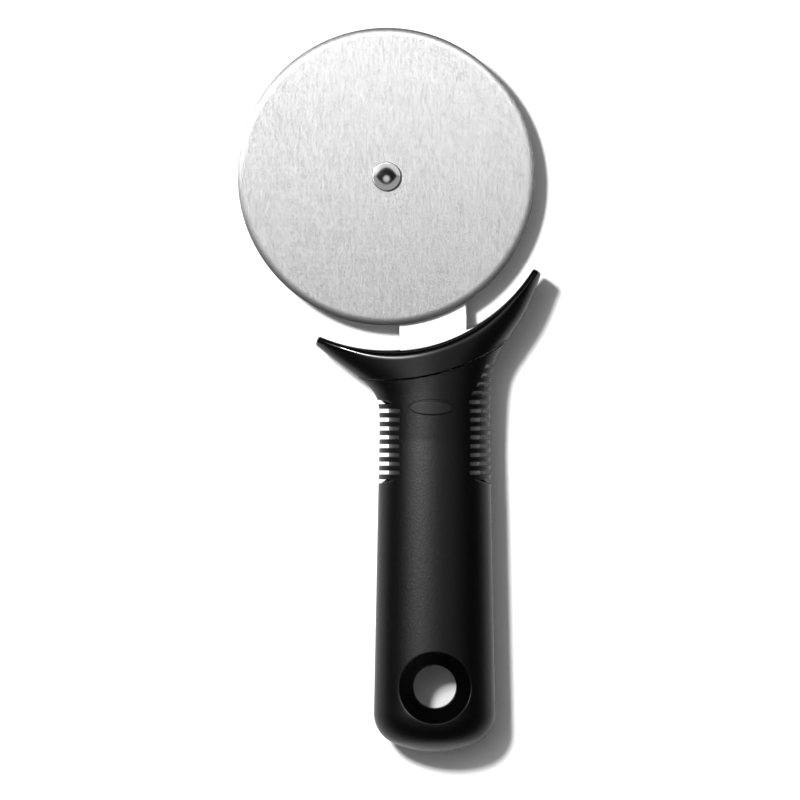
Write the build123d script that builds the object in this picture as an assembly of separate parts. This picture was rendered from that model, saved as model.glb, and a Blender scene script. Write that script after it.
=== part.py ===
from build123d import *
import os
from math import cos, radians, sqrt

# All sizes are in millimetres and all angles in degrees.
# The origin is the centre of the hang hole, on the handle's mid-plane. +Y runs along the
# handle to the wheel, and +Z is the wheel's axis, towards the side with the pin's head.

# Wheel
wheel_radius = 50.8
wheel_thickness = 1.2
bevel_width = 2.4
edge_land = 0.2
wheel_x = -16.5
wheel_room = 8.4

# Axle
axle_radius = 3.0
running_gap = 0.05
end_float = 0.1
bush_radius = 4.1
flange_radius = 6.5
flange_thickness = 0.5
washer_radius = 4.6
washer_thickness = 0.4
thrust_washer_thickness = 0.6
head_radius = 4.95
head_rim = 0.5
head_rise = 0.7
collar_radius = 5.4
collar_thickness = 1.6
collar_round = 0.5

# Neck arm
arm_left = 11.6
arm_right = 11.6
arm_thickness = 3.2
arm_front_z = -4.3
arm_x = -0.5
arm_straight_inset = 1.8
arm_round = 0.7
shoulder_inset = 5.3
boss_radius = 10.0
boss_rise = 1.8
tang_half_width = 6.5
tang_end_half_width = 4.5
tang_end_y = 44.0

# Finger guard
guard_thickness = 10.2
guard_lean = 17.5
guard_half_span = 40.4
tip_thickness = 3.2
guard_half_depth = 13.0
rim_round = 1.5
tip_round = 0.8
mouth_flare = 4.0
mouth_straight = 4.0
tenon_half_width = 7.0
tenon_half_depth = 3.4
tenon_z = 2.2
tenon_length = 7.6
tenon_round = 1.5

# Handle
seam_y = 104.6
seam_gap = 0.3
seam_round = 0.4
handle_half_width = 18.9
butt_half_width = 20.75
flare_length = 20.6
butt_end = -22.2
butt_radius = 35.0
butt_corner = 11.0
butt_corner_y = -8.5
depth_share = 0.65
hang_hole_radius = 7.5
hang_wall_half = 4.0
dish_radius = 12.45
dish_wall = 1.2
dish_round = 0.4

# Points of the flare's two edges, as shares of the run across and along the handle from
# its top corner to the guard's tip. The last point of each lies past the tip.
left_flare_shares = (
    (0.000, 0.000),
    (0.002, 0.275),
    (0.051, 0.456),
    (0.278, 0.627),
    (0.630, 0.801),
    (1.000, 1.000),
    (1.150, 1.082),
)
right_flare_shares = (
    (0.000, 0.000),
    (0.006, 0.284),
    (0.097, 0.476),
    (0.341, 0.607),
    (0.642, 0.746),
    (0.909, 0.927),
    (1.000, 1.000),
    (1.130, 1.115),
)
flare_stations = 11

# Squeeze fins
fin_pitch = 3.0
fin_thickness = 1.4
fins_below_flare = 12.5
left_fins = 9
right_fins = 13
recess_radius = 14.0
recess_offset = 1.7
recess_rise = 3.5
recess_low_ramp = 2.6
left_high_ramp = 3.0
right_high_ramp = 12.0

# Core and its dowel
core_half_width = 13.6
core_half_depth = 9.8
core_butt = 13.5
hole_wall = 2.0
core_round = 3.0
bond_gap = 0.05
seat_gap = 0.15
dowel_radius = 1.5
dowel_half_length = 9.0
dowel_y = 58.0

overrun = 5.0

# Places round the wheel and along the handle
guard_inner_radius = wheel_radius + wheel_room
tip_radius = guard_inner_radius + tip_thickness
seam_radius = guard_inner_radius + guard_thickness
shoulder_radius = guard_inner_radius + shoulder_inset
wheel_y = seam_y + seam_radius
arm_straight_end = wheel_y - wheel_radius + arm_straight_inset
tenon_end_y = seam_y - tenon_length
handle_top = seam_y - flare_length
first_fin_y = handle_top - fins_below_flare

# Heights of the dish's rim, at its highest point, and of the lower edge of its upright wall
dish_rim_z = depth_share * butt_half_width
dish_wall_z = depth_share * sqrt(butt_half_width**2 - dish_radius**2) - dish_wall

# Heights along the wheel's axis, from the arm forwards
thrust_front_z = arm_front_z + thrust_washer_thickness
flange_back_z = thrust_front_z + end_float
blade_back_z = flange_back_z + flange_thickness
blade_front_z = blade_back_z + wheel_thickness
washer_back_z = blade_front_z + end_float
head_back_z = washer_back_z + washer_thickness
arm_back_z = arm_front_z - arm_thickness
boss_back_z = arm_back_z - boss_rise

wheel_axis = Pos(wheel_x, wheel_y, 0)
guard_turn = wheel_axis * Rot(0, 0, guard_lean)


def disc(radius, low, high):
    """A round disc on the wheel's axis, between two heights."""
    return wheel_axis * Pos(0, 0, low) * Cylinder(
        radius, high - low, align=(Align.CENTER, Align.CENTER, Align.MIN)
    )


def ring(outer, inner, low, high):
    """A washer on the wheel's axis, between two heights."""
    return disc(outer, low, high) - disc(inner, low - overrun, high + overrun)


def wheel_blade():
    """The cutting disc, ground on both faces to a thin edge."""
    flat = wheel_radius - bevel_width
    middle = wheel_thickness / 2
    land = edge_land / 2
    outline = Polyline(
        (bush_radius, -middle),
        (flat, -middle),
        (wheel_radius, -land),
        (wheel_radius, land),
        (flat, middle),
        (bush_radius, middle),
        close=True,
    )
    blade = revolve(Plane.XZ * make_face(outline), axis=Axis.Z)
    return wheel_axis * Pos(0, 0, blade_back_z + middle) * blade


def hub_bush():
    """The flanged bush that the blade is pressed on, turning on the pin."""
    flange = disc(flange_radius, flange_back_z, blade_back_z)
    sleeve = disc(bush_radius, flange_back_z, blade_front_z)
    bore = disc(axle_radius + running_gap, flange_back_z - overrun, blade_front_z + overrun)
    return flange + sleeve - bore


def axle_pin():
    """The shoulder pin with its low domed head, closed over the collar behind the arm."""
    dome_base = head_back_z + head_rim
    dome_top = dome_base + head_rise
    outline = [
        Line((0, boss_back_z - collar_thickness), (axle_radius, boss_back_z - collar_thickness)),
        Line((axle_radius, boss_back_z - collar_thickness), (axle_radius, head_back_z)),
        Line((axle_radius, head_back_z), (head_radius, head_back_z)),
        Line((head_radius, head_back_z), (head_radius, dome_base)),
        TangentArc((0, dome_top), (head_radius, dome_base), tangent=(1, 0)),
        Line((0, dome_top), (0, boss_back_z - collar_thickness)),
    ]
    return wheel_axis * revolve(Plane.XZ * make_face(outline), axis=Axis.Z)


def axle_collar():
    """The ring that the pin's end is closed over."""
    collar = ring(
        collar_radius, axle_radius + running_gap, boss_back_z - collar_thickness, boss_back_z
    )
    back_edges = collar.edges().filter_by(GeomType.CIRCLE).group_by(Axis.Z)[0]
    return fillet(back_edges.sort_by(SortBy.RADIUS)[-1], collar_round)


def swept_edge(x_start, x_end):
    """One side of the arm: two equal tangent arcs from the straight part to the boss."""
    start = (x_start, arm_straight_end)
    end = (x_end, wheel_y)
    middle = ((x_start + x_end) / 2, (arm_straight_end + wheel_y) / 2)
    return [TangentArc(start, middle, tangent=(0, 1)), TangentArc(end, middle, tangent=(0, -1))]


def tang(grow):
    """The tongue below the arm's shoulder, swollen by grow to make the slot for it."""
    top = wheel_y - guard_inner_radius
    outline = Polyline(
        (arm_x - tang_half_width - grow, top),
        (arm_x - tang_end_half_width - grow, tang_end_y - grow),
        (arm_x + tang_end_half_width + grow, tang_end_y - grow),
        (arm_x + tang_half_width + grow, top),
        close=True,
    )
    tongue = extrude(make_face(outline), arm_thickness + grow + grow)
    return Pos(0, 0, arm_back_z - grow) * tongue


def arm_plate(grow):
    """The flat of the arm, from its curved shoulder in the guard to the boss."""
    left = arm_x - arm_left - grow
    right = arm_x + arm_right + grow
    low = wheel_y - seam_radius
    outline = [
        Line((left, low), (right, low)),
        Line((right, low), (right, arm_straight_end)),
        *swept_edge(right, wheel_x + boss_radius + grow),
        RadiusArc(
            (wheel_x + boss_radius + grow, wheel_y),
            (wheel_x - boss_radius - grow, wheel_y),
            -boss_radius - grow,
        ),
        *swept_edge(left, wheel_x - boss_radius - grow),
        Line((left, low), (left, arm_straight_end)),
    ]
    plate = extrude(make_face(outline), arm_thickness + grow + grow)
    plate = Pos(0, 0, arm_back_z - grow) * plate
    return plate & disc(shoulder_radius + grow, arm_back_z - overrun, arm_front_z + overrun)


def neck_arm():
    """The arm behind the wheel, with its boss for the pin and its tang for the handle."""
    plate = arm_plate(0)
    long_edges = plate.edges().group_by(Axis.Z)[-1] + plate.edges().group_by(Axis.Z)[0]
    plate = fillet(long_edges, arm_round)
    arm = plate + tang(0) + disc(boss_radius - arm_round, boss_back_z, arm_front_z - arm_round)
    arm -= disc(axle_radius + running_gap, boss_back_z - overrun, arm_front_z + overrun)
    return arm - dowel(bond_gap)


def round_wheel(radius, angle):
    """A point at a radius from the wheel's centre, its angle taken from the handle's side."""
    return Vector(wheel_x, wheel_y) + Vector(0, -radius).rotate(Axis.Z, angle)


def flare_edge(start, tip, shares):
    """One edge of the flare in plan, from the handle's top corner to past the guard's tip."""
    points = []
    for across, along in shares:
        points.append((start.X + across * (tip.X - start.X), start.Y + along * (tip.Y - start.Y)))
    return Spline(points)


def oval_between(left, right, half_depth):
    """An oval section standing on the line from left to right."""
    across = right - left
    along = across.rotate(Axis.Z, 90)
    plane = Plane(origin=(left + right) / 2, x_dir=(0, 0, -1), z_dir=along)
    return plane * Ellipse(half_depth, across.length / 2)


def handle_body():
    """The outer form of grip and guard together, before they are parted."""
    slope = (butt_half_width - handle_half_width) / (handle_top - butt_corner_y)
    low = butt_half_width + slope * (butt_corner_y - butt_end)
    block = make_face(
        Polyline(
            (0, butt_end),
            (low, butt_end),
            (handle_half_width, handle_top),
            (0, handle_top),
            close=True,
        )
    )
    profile = block & (Pos(0, butt_end + butt_radius) * Circle(butt_radius) + stem_face())
    corner = profile.vertices().sort_by(Axis.X)[-1]
    profile = fillet(corner, butt_corner)
    turned = revolve(Rot(0, 90, 0) * profile, axis=Axis.Y)
    return scale(turned, by=(1, 1, depth_share)) + flare()


def stem_face():
    """The part of the profile's plane above the butt's arc."""
    return Pos(0, butt_end + butt_radius) * Rectangle(
        butt_radius, handle_top, align=(Align.MIN, Align.MIN)
    )


def flare():
    """The head that opens from the handle's oval to the crescent of the guard."""
    left_tip = round_wheel(tip_radius, guard_lean - guard_half_span)
    right_tip = round_wheel(tip_radius, guard_lean + guard_half_span)
    left_edge = flare_edge(Vector(-handle_half_width, handle_top), left_tip, left_flare_shares)
    right_edge = flare_edge(Vector(handle_half_width, handle_top), right_tip, right_flare_shares)
    handle_half_depth = handle_half_width * depth_share
    sections = []
    for station in range(flare_stations):
        along = station / (flare_stations - 1)
        half_depth = handle_half_depth + along * (guard_half_depth - handle_half_depth)
        sections.append(oval_between(left_edge @ along, right_edge @ along, half_depth))
    return loft(sections)


def dowel(grow):
    """The pin down through the core and the tang, swollen by grow to make its hole."""
    return Pos(arm_x, dowel_y, 0) * Cylinder(dowel_radius + grow, 2 * dowel_half_length)


def hang_hole(grow):
    """The hang hole and the dish at each end of it, swollen by grow to line the core."""
    top = dish_rim_z + overrun
    hole = hang_hole_radius + grow
    dish = dish_radius + grow
    outline = Polyline(
        (0, 0),
        (hole, 0),
        (hole, hang_wall_half),
        (dish, dish_wall_z),
        (dish, top),
        (0, top),
        close=True,
    )
    half = revolve(Plane.XZ * make_face(outline), axis=Axis.Z)
    return half + mirror(half, about=Plane.XY)


def guard_mouth():
    """The space that the wheel turns in: upright by the wheel, and flaring to both faces."""
    flare_z = guard_half_depth + rim_round
    outer = guard_inner_radius + mouth_flare
    outline = [
        Line((0, 0), (guard_inner_radius, 0)),
        Line((guard_inner_radius, 0), (guard_inner_radius, mouth_straight)),
        TangentArc((guard_inner_radius, mouth_straight), (outer, flare_z), tangent=(0, 1)),
        Line((outer, flare_z), (0, flare_z)),
        Line((0, flare_z), (0, 0)),
    ]
    half = revolve(Plane.XZ * make_face(outline), axis=Axis.Z)
    return guard_turn * (half + mirror(half, about=Plane.XY))


def guard_sector():
    """The wedge, spreading from the wheel's axis, that ends the crescent at its two tips."""
    reach = seam_radius / cos(radians(guard_half_span))
    wedge = make_face(
        Polyline(
            round_wheel(0, 0),
            round_wheel(reach, guard_lean - guard_half_span),
            round_wheel(reach, guard_lean + guard_half_span),
            close=True,
        )
    )
    depth = guard_half_depth + overrun
    return Pos(0, 0, -depth) * extrude(wedge, depth + depth, dir=(0, 0, 1))


def longest_edge(shape):
    """The longest edge, which on the guard and the grip is the one round the seam."""
    return shape.edges().sort_by(SortBy.LENGTH)[-1]


def tenon(grow):
    """The oblong tongue on the guard's back that centres it in the core."""
    root = wheel_y - (seam_radius + guard_inner_radius) / 2
    height = root - tenon_end_y + grow
    tongue = Box(
        2 * (tenon_half_width + grow),
        height,
        2 * (tenon_half_depth + grow),
        align=(Align.CENTER, Align.MIN, Align.CENTER),
    )
    tongue = fillet(tongue.edges().filter_by(Axis.Y), tenon_round)
    return Pos(arm_x, tenon_end_y - grow, tenon_z) * tongue


def finger_guard(body):
    """The crescent round the wheel, with its slot for the arm and its tenon for the core."""
    depth = guard_half_depth + overrun
    guard = body & disc(seam_radius, -depth, depth)
    guard = (guard & guard_sector()) - guard_mouth()
    rim = guard.edges().filter_by(lambda edge: edge.length > guard_inner_radius)
    rim = rim.filter_by(lambda edge: abs(edge.center().Z) > mouth_straight)
    guard = fillet(rim, rim_round)
    guard = fillet(longest_edge(guard), seam_round)
    guard = fillet(guard.faces().filter_by(GeomType.PLANE).edges(), tip_round)
    return guard + tenon(0) - arm_plate(seat_gap) - tang(seat_gap)


def recess(high_y, high_ramp):
    """The lens-shaped hollow that the left bank of squeeze fins stands in."""
    low_y = first_fin_y - fin_pitch / 2 - recess_low_ramp / 2
    outline = Polyline(
        (0, low_y),
        (recess_radius + recess_rise, low_y),
        (recess_radius, low_y + recess_low_ramp),
        (recess_radius, high_y - high_ramp),
        (recess_radius + recess_rise, high_y),
        (0, high_y),
        close=True,
    )
    barrel = Pos(-recess_offset, 0, 0) * revolve(make_face(outline), axis=Axis.Y)
    block = Pos(-butt_half_width, low_y, 0) * Box(
        2 * butt_half_width,
        high_y - low_y,
        2 * butt_half_width,
        align=(Align.CENTER, Align.MIN, Align.CENTER),
    )
    return block - barrel


def slots(fins, high_ramp):
    """The gaps of the left bank of squeeze fins, each cut down to the recess's floor."""
    gap = fin_pitch - fin_thickness
    width = 2 * (butt_half_width + overrun)
    first_gap_y = first_fin_y - fin_pitch / 2
    high_y = first_gap_y + fins * fin_pitch + recess_low_ramp / 2
    gaps = []
    for number in range(fins + 1):
        gaps.append(Pos(0, first_gap_y + number * fin_pitch, 0) * Box(width, gap, width))
    return recess(high_y, high_ramp) & Compound(gaps)


def core_body(grow):
    """The rigid core's outer form, swollen by grow to make the grip's hollow."""
    outline = Polyline(
        (0, -core_butt - grow),
        (core_half_width + grow, -core_butt - grow),
        (core_half_width + grow, wheel_y - guard_inner_radius),
        (0, wheel_y - guard_inner_radius),
        close=True,
    )
    profile = make_face(outline)
    profile = fillet(profile.vertices().group_by(Axis.Y)[0].sort_by(Axis.X)[-1], core_round)
    turned = revolve(Rot(0, 90, 0) * profile, axis=Axis.Y)
    return scale(turned, by=(1, 1, core_half_depth / core_half_width))


def handle_core():
    """The rigid core, with its slot for the tang and its socket for the guard's tenon."""
    core = core_body(0) - disc(seam_radius + seam_gap, -guard_half_depth, guard_half_depth)
    core -= hang_hole(hole_wall + bond_gap)
    return core - tang(seat_gap) - tenon(seat_gap) - dowel(bond_gap)


def grip_sleeve(body):
    """The soft grip, with the squeeze fins left standing in the recess on each side."""
    depth = guard_half_depth + overrun
    grip = body - disc(seam_radius + seam_gap, -depth, depth)
    grip = fillet(longest_edge(grip), seam_round)
    grip -= slots(left_fins, left_high_ramp)
    grip -= mirror(slots(right_fins, right_high_ramp), about=Plane.YZ)
    grip -= core_body(bond_gap) - hang_hole(hole_wall)
    grip -= hang_hole(0)
    reach = dish_radius + dish_round
    rim = grip.edges().filter_by(GeomType.BSPLINE)
    rim = rim.filter_by(lambda edge: abs(edge.center().Z) > dish_wall_z)
    rim = rim.filter_by(lambda edge: Vector(edge.center().X, edge.center().Y).length < reach)
    return fillet(rim, dish_round)


os.makedirs("parts", exist_ok=True)
body = handle_body()
parts = {
    "wheel_blade": wheel_blade(),
    "hub_bush": hub_bush(),
    "front_washer": ring(washer_radius, axle_radius + running_gap, washer_back_z, head_back_z),
    "rear_washer": ring(flange_radius, axle_radius + running_gap, arm_front_z, thrust_front_z),
    "axle_pin": axle_pin(),
    "axle_collar": axle_collar(),
    "neck_arm": neck_arm(),
    "finger_guard": finger_guard(body),
    "handle_core": handle_core(),
    "grip_sleeve": grip_sleeve(body),
    "tang_pin": dowel(0),
}
for name, shape in parts.items():
    export_step(shape, f"parts/{name}.step")
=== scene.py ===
import math

import bmesh
import bpy
import numpy as np
from bpy.props import FloatProperty, FloatVectorProperty, IntProperty, PointerProperty
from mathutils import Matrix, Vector


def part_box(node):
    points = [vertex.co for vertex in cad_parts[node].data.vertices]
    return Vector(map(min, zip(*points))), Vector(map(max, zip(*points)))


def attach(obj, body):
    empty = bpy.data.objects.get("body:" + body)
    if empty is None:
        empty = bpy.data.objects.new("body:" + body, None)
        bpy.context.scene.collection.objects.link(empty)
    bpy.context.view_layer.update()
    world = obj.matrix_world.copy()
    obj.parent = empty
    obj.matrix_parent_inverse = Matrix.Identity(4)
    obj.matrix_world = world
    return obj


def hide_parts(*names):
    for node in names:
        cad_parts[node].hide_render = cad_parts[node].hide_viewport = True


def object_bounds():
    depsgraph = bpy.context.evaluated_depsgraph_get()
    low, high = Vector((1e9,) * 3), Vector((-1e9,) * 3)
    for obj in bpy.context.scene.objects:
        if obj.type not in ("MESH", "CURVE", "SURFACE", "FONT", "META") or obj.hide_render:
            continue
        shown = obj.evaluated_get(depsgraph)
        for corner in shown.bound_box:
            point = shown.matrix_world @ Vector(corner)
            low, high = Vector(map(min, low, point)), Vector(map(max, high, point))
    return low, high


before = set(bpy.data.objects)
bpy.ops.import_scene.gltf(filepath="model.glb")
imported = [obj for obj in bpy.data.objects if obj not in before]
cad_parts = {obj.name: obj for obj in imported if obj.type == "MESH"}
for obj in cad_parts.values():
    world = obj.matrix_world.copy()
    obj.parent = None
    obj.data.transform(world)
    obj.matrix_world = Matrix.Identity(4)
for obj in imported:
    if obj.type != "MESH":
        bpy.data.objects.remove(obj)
CAD_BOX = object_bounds()

bl_info = {
    "name": "Pizza Cutter",
    "version": (1, 0, 0),
    "blender": (4, 5, 0),
    "location": "View3D > Sidebar > Pizza Cutter",
    "description": "Builds the finished pieces of a pizza cutter round its solid model",
    "category": "Add Mesh",
}

# Lengths are in metres. The origin is the centre of the hang hole, +Y runs along the handle
# to the wheel, and +Z is the wheel's axis, towards the side with the pin's head.
BLADE_LOW, BLADE_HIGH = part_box("wheel_blade")
WHEEL = (BLADE_LOW + BLADE_HIGH) / 2
PIN_LOW, PIN_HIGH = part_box("axle_pin")
COLLAR_LOW, COLLAR_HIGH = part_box("axle_collar")
BUSH_LOW, BUSH_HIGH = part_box("hub_bush")
FRONT_LOW, FRONT_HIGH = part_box("front_washer")
REAR_LOW, REAR_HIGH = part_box("rear_washer")
ARM_LOW, ARM_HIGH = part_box("neck_arm")

MM = 0.001
TINY = 1e-9


def length(name, description, default):
    """A length that the user can change."""
    return FloatProperty(name=name, description=description, default=default, unit="LENGTH", precision=5)


def factor(name, description, default, top=1.0):
    """A plain number from nought to its top."""
    return FloatProperty(name=name, description=description, default=default, min=0, max=top)


def rotation(name, description, degrees):
    """An angle that the user can change, its default in degrees."""
    turn = math.radians(degrees)
    return FloatProperty(name=name, description=description, default=turn, unit="ROTATION")


def colour(name, description, default):
    """A colour that the user can change."""
    return FloatVectorProperty(
        name=name, description=description, default=default, subtype="COLOR", min=0, max=1
    )


class BladeSettings(bpy.types.PropertyGroup):
    radius: length("Radius", "Radius of the cutting disc", (BLADE_HIGH.x - BLADE_LOW.x) / 2)
    thickness: length("Thickness", "Thickness of the disc", BLADE_HIGH.z - BLADE_LOW.z)
    bevel: length("Ground edge", "Width of the ground edge", 2.8 * MM)
    land: length("Edge land", "Thickness of the rounded cutting edge", 0.2 * MM)
    bore: length("Bore", "Radius of the hole that the bush is pressed in", 4.1 * MM)
    steel: colour("Steel", "Colour of the brushed steel", (0.26, 0.26, 0.26))


class HubSettings(bpy.types.PropertyGroup):
    pin: length("Pin", "Radius of the pin", 3.0 * MM)
    clearance: length("Clearance", "Running gap round the pin", 0.05 * MM)
    dome: rotation("Dome", "Slope that the pin's head reaches on its dome", 7.0)
    softness: length("Softness", "Round on the small edges", 0.12 * MM)
    steel: colour("Pin steel", "Colour of the polished steel", (0.66, 0.66, 0.67))
    plastic: colour("Bearing", "Colour of the bush and washers", (0.80, 0.79, 0.75))


class ArmSettings(bpy.types.PropertyGroup):
    left: length("Left edge", "Where the left edge of the straight part lies", -12.1 * MM)
    right: length("Right edge", "Where the right edge of the straight part lies", 11.1 * MM)
    straight: length("Straight end", "Where the straight part ends", 125.0 * MM)
    shoulder: length("Shoulder", "Radius of the curved shoulder round the wheel's axis", 64.5 * MM)
    thickness: length("Thickness", "Thickness of the arm", 3.2 * MM)
    boss: length("Boss", "Radius of the boss behind the wheel", 10.0 * MM)
    softness: length("Softness", "Round on the arm's edges", 0.3 * MM)
    plate: colour("Plating", "Colour of the satin plating", (0.62, 0.62, 0.62))


class HandleSettings(bpy.types.PropertyGroup):
    half_width: length("Half width", "Half the handle's width at its top", 18.9 * MM)
    butt_half_width: length("Butt half width", "Half the greatest width", 20.75 * MM)
    butt_corner_y: length("Widest place", "Where the handle is widest", -8.5 * MM)
    top: length("Top", "Where the handle starts to flare", 84.0 * MM)
    end: length("End", "Where the handle ends", -22.2 * MM)
    butt_radius: length("Butt radius", "Radius of the butt's arc", 35.0 * MM)
    butt_corner: length("Butt corner", "Radius of the butt's corners", 11.0 * MM)
    depth: factor("Depth", "Depth of the oval section as a share of its width", 0.65)
    hole: length("Hang hole", "Radius of the hang hole", 7.5 * MM)
    hole_half: length("Hole half length", "Half the length of the hole's upright wall", 4.0 * MM)
    dish: length("Dish", "Radius of the dish round the hang hole", 12.1 * MM)
    dish_wall: length("Dish wall", "Least height of the dish's upright wall", 1.2 * MM)
    softness: length("Softness", "Round on the rims of dish and seam", 0.28 * MM)
    rubber: colour("Rubber", "Colour of the soft grip", (0.0005, 0.0005, 0.0005))


class FinSettings(bpy.types.PropertyGroup):
    pitch: length("Pitch", "Distance from fin to fin", 3.0 * MM)
    thickness: length("Thickness", "Thickness of a fin", 1.65 * MM)
    first: length("First fin", "Middle of the first fin", 71.5 * MM)
    left: IntProperty(name="Left fins", description="Fins on the left", default=9)
    right: IntProperty(name="Right fins", description="Fins on the right", default=13)
    softness: length("Softness", "Round on the fins' outer edges", 0.28 * MM)
    radius: length("Recess radius", "Radius of the recess that the fins stand in", 14.0 * MM)
    offset: length("Recess offset", "Distance of the recess's axis from the middle", 1.7 * MM)
    rise: length("Recess rise", "How far the recess runs out at its ends", 3.5 * MM)
    low_ramp: length("Low ramp", "Length of the run-out towards the butt", 2.6 * MM)
    left_ramp: length("Left ramp", "Length of the left run-out towards the guard", 3.0 * MM)
    right_ramp: length("Right ramp", "Length of the right run-out towards the guard", 12.0 * MM)


class GuardSettings(bpy.types.PropertyGroup):
    inner: length("Mouth radius", "Radius of the space that the wheel turns in", 59.2 * MM)
    tip: length("Tip radius", "Radius at the guard's tips", 62.4 * MM)
    seam: length("Seam radius", "Radius of the seam with the grip", 69.4 * MM)
    seam_gap: length("Seam gap", "Width of the seam", 0.3 * MM)
    lean: rotation("Lean", "Angle from the handle's line to the guard's middle", 17.5)
    half_span: rotation("Half span", "Half the angle that the guard covers", 40.4)
    half_depth: length("Half depth", "Half the guard's depth", 13.0 * MM)
    wall: factor("Side wall", "Share of the flare's oval section that is cut off at its sides", 0.14)
    mouth_straight: length("Mouth straight", "Half height of the upright part", 4.0 * MM)
    mouth_flare: length("Mouth flare", "How far the mouth opens to its faces", 1.2 * MM)
    rim: length("Rim", "Radius of the rolled rim in the guard's middle", 3.0 * MM)
    thin_rim: length("Thin rim", "Radius of the rolled rim at the guard's ends", 1.3 * MM)
    thin_height: length("Thin height", "Half depth below which the rim is thin", 7.5 * MM)
    tip_round: length("Tip round", "Round on the edges of the tips", 0.8 * MM)
    plastic: colour("Plastic", "Colour of the hard plastic", (0.0012, 0.0012, 0.0012))


class BadgeSettings(bpy.types.PropertyGroup):
    x: length("X", "Middle of the bare oval, across the handle", -1.3 * MM)
    y: length("Y", "Middle of the bare oval, along the handle", 95.0 * MM)
    half_width: length("Half width", "Half the oval's width", 7.4 * MM)
    half_height: length("Half height", "Half the oval's height", 2.35 * MM)
    groove: length("Groove", "Width of the groove round the oval", 0.65 * MM)
    depth: length("Pocket depth", "Depth of the oval's pocket", 0.5 * MM)
    rise: length("Rise", "How far the oval stands out of the grip", 0.25 * MM)
    plastic: colour("Badge plastic", "Colour of the bare oval", (0.003, 0.003, 0.003))


class StageSettings(bpy.types.PropertyGroup):
    floor: factor("Floor", "Brightness of the floor", 1.0)
    floor_gap: length("Floor gap", "How far the floor lies under the cutter", 0.3 * MM)
    floor_size: length("Floor size", "Half the width of the floor", 3.0)
    # Painted shade: the floor's colour is darkened in a disc under the hang hole, standing in for the
    # deeper shade seen through the hole.
    painted_shade: factor("Shade", "How much darker the floor is under the hang hole", 0.32)
    painted_shade_radius: length("Shade radius", "Radius of the darker floor", 11.0 * MM)
    key: factor("Key light", "Power of the key light", 63.0, 500.0)
    key_size: length("Key size", "Radius of the key light", 80 * MM)
    key_place: FloatVectorProperty(
        name="Key place",
        description="Where the key light hangs",
        default=(-0.38, 0.43, 0.95),
        subtype="TRANSLATION",
    )
    distance: length("Camera height", "Height of the camera over the handle's middle", 2.4)
    frame_width: length("Frame width", "Width that the picture shows", 272.8 * MM)
    frame_x: length("Frame X", "X of the picture's centre", -11.85 * MM)
    frame_y: length("Frame Y", "Y of the picture's centre", 97.7 * MM)


# Points of the flare's two edges, as shares of the run across and along the handle from its
# top corner to the guard's tip. The last point of each lies past the tip.
LEFT_FLARE_SHARES = (
    (0.000, 0.000), (0.002, 0.275), (0.051, 0.456), (0.278, 0.627),
    (0.630, 0.801), (1.000, 1.000), (1.150, 1.082),
)
RIGHT_FLARE_SHARES = (
    (0.000, 0.000), (0.006, 0.284), (0.097, 0.476), (0.341, 0.607),
    (0.642, 0.746), (0.909, 0.927), (1.000, 1.000), (1.130, 1.115),
)

# Where the grip's rows end and the patch round the hang hole starts, how far apart plain rows
# lie, and the cells of a row on each side and in its middle
JOIN_Y = 16 * MM
ROW_STEP = 1.2 * MM
SIDE_CELLS = 20
MIDDLE_CELLS = 56

# The left and the right side, as indices
SIDES = (0, 1)


# Node trees


def operator_method(operation, swapped=False):
    """A method that adds the Math node of one of Python's operators."""

    def method(self, other):
        values = (other, self) if swapped else (self, other)
        return self.graph.maths(operation, *values)

    return method


class Socket:
    """An output of a node tree, on which Python's operators add Math nodes."""

    def __init__(self, graph, socket):
        self.graph = graph
        self.socket = socket

    def math(self, operation, *others):
        return self.graph.maths(operation, self, *others)

    def clamped(self):
        return self.math("MAXIMUM", 0).math("MINIMUM", 1)

    __add__ = __radd__ = operator_method("ADD")
    __sub__ = operator_method("SUBTRACT")
    __rsub__ = operator_method("SUBTRACT", swapped=True)
    __mul__ = __rmul__ = operator_method("MULTIPLY")
    __truediv__ = operator_method("DIVIDE")
    __gt__ = operator_method("GREATER_THAN")
    __lt__ = operator_method("LESS_THAN")


class Graph:
    """A node tree that is built by calls."""

    def __init__(self, tree):
        self.tree = tree

    def node(self, kind, settings=None, links=None):
        """Adds a node, sets it up, and joins or fills its sockets."""
        node = self.tree.nodes.new(kind)
        for name, value in (settings or {}).items():
            setattr(node, name, value)
        for name, value in (links or {}).items():
            self.join(value, node.inputs[name])
        return node

    def join(self, value, target):
        """Links a socket to another, or fills it with a plain value."""
        if isinstance(value, Socket):
            self.tree.links.new(value.socket, target)
        else:
            target.default_value = value

    def out(self, kind, settings=None, links=None, output=0):
        """Adds a node and gives one of its outputs."""
        return Socket(self, self.node(kind, settings, links).outputs[output])

    def maths(self, operation, *values):
        return self.out("ShaderNodeMath", {"operation": operation}, dict(enumerate(values)))

    def vector_maths(self, operation, *values, output=0):
        links = dict(enumerate(values))
        return self.out("ShaderNodeVectorMath", {"operation": operation}, links, output)

    def parts(self, vector):
        """The three numbers of a vector."""
        node = self.node("ShaderNodeSeparateXYZ", links={0: vector})
        return [Socket(self, output) for output in node.outputs]


def off_axis(x, y):
    """The distance from an axis along Z, from its two parts."""
    return (x * x + y * y).math("SQRT")


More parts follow.
